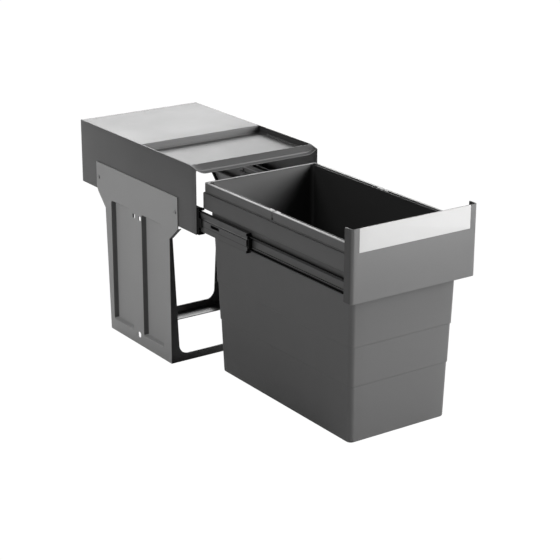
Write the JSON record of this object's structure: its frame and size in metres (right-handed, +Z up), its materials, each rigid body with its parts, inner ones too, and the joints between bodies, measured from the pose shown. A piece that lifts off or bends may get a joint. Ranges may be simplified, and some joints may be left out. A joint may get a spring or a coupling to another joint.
{
  "type": "pull-out trash cabinet unit",
  "caption": "Pull-out waste unit for a narrow kitchen cabinet: steel hood with storage tray on a floor-mounted stand, and a slide-mounted drawer carrying a tall tapered plastic bin.",
  "frame": {"origin": "centre of the four floor screw holes, on the cabinet floor, midway between the two frames of the stand", "axes": "+Z up, +Y towards the cabinet's back and against the drawer's way out, +X to the right seen from the front; at rest the drawer is drawn fully out, as in the picture"},
  "size_m": [0.2558, 0.8225, 0.3825],
  "materials": {
    "hood_steel": "satin grey powder coat",
    "stand_steel": "satin grey powder coat",
    "frame_steel": "satin black",
    "liner_plastic": "fine grain",
    "slide_steel": "dark plated steel",
    "rail_steel": "satin grey powder coat",
    "black_plastic": "matt",
    "ball_steel": "polished",
    "screw_steel": "plated",
    "collar_plastic": "fine grain",
    "panel_plastic": "fine grain",
    "strip_plastic": "satin",
    "bin_plastic": "fine grain"
  },
  "bodies": {
    "cabinet_frame": {"hood_cover": "hood_steel", "tray_liner": "liner_plastic", "stand_side_left": "stand_steel", "stand_side_right": "stand_steel", "stand_front_frame": "frame_steel", "stand_rear_frame": "frame_steel", "hood_screws": "screw_steel", "slide_outer_left": "slide_steel", "slide_outer_right": "slide_steel", "slide_bumper_left": "black_plastic", "slide_bumper_right": "black_plastic"},
    "middle_left": {"slide_middle_left": "slide_steel", "middle_stop_left": "black_plastic"},
    "outer_retainer_left": {"cage_outer_left": "black_plastic", "balls_outer_left": "ball_steel"},
    "inner_retainer_left": {"cage_inner_left": "black_plastic", "balls_inner_left": "ball_steel"},
    "middle_right": {"slide_middle_right": "slide_steel", "middle_stop_right": "black_plastic"},
    "outer_retainer_right": {"cage_outer_right": "black_plastic", "balls_outer_right": "ball_steel"},
    "inner_retainer_right": {"cage_inner_right": "black_plastic", "balls_inner_right": "ball_steel"},
    "drawer": {"slide_inner_left": "slide_steel", "slide_inner_right": "slide_steel", "side_rail_left": "rail_steel", "side_rail_right": "rail_steel", "rail_rivets": "screw_steel", "carrier_collar": "collar_plastic", "panel_bracket_left": "rail_steel", "panel_bracket_right": "rail_steel", "panel_screws": "screw_steel", "front_panel": "panel_plastic", "trim_strip": "strip_plastic", "bin": "bin_plastic", "front_bail": "bin_plastic", "rear_bail": "bin_plastic", "bail_pins": "black_plastic"}
  },
  "joints": [
    {"name": "drawer_slide", "type": "slide", "parent": "cabinet_frame", "child": "drawer", "axis": [0, 1, 0], "range_m": [0, 0.39]},
    {"name": "middle_slide_left", "type": "slide", "parent": "cabinet_frame", "child": "middle_left", "axis": [0, 1, 0], "range_m": [0, 0.14625]},
    {"name": "outer_retainer_slide_left", "type": "slide", "parent": "cabinet_frame", "child": "outer_retainer_left", "axis": [0, 1, 0], "range_m": [0, 0.07312]},
    {"name": "inner_retainer_slide_left", "type": "slide", "parent": "cabinet_frame", "child": "inner_retainer_left", "axis": [0, 1, 0], "range_m": [0, 0.26813]},
    {"name": "middle_slide_right", "type": "slide", "parent": "cabinet_frame", "child": "middle_right", "axis": [0, 1, 0], "range_m": [0, 0.14625]},
    {"name": "outer_retainer_slide_right", "type": "slide", "parent": "cabinet_frame", "child": "outer_retainer_right", "axis": [0, 1, 0], "range_m": [0, 0.07312]},
    {"name": "inner_retainer_slide_right", "type": "slide", "parent": "cabinet_frame", "child": "inner_retainer_right", "axis": [0, 1, 0], "range_m": [0, 0.26813]}
  ],
  "couplings": [
    {"joint": "middle_slide_left", "follows": "drawer_slide", "ratio": 0.375},
    {"joint": "outer_retainer_slide_left", "follows": "drawer_slide", "ratio": 0.1875},
    {"joint": "inner_retainer_slide_left", "follows": "drawer_slide", "ratio": 0.6875},
    {"joint": "middle_slide_right", "follows": "drawer_slide", "ratio": 0.375},
    {"joint": "outer_retainer_slide_right", "follows": "drawer_slide", "ratio": 0.1875},
    {"joint": "inner_retainer_slide_right", "follows": "drawer_slide", "ratio": 0.6875}
  ]
}
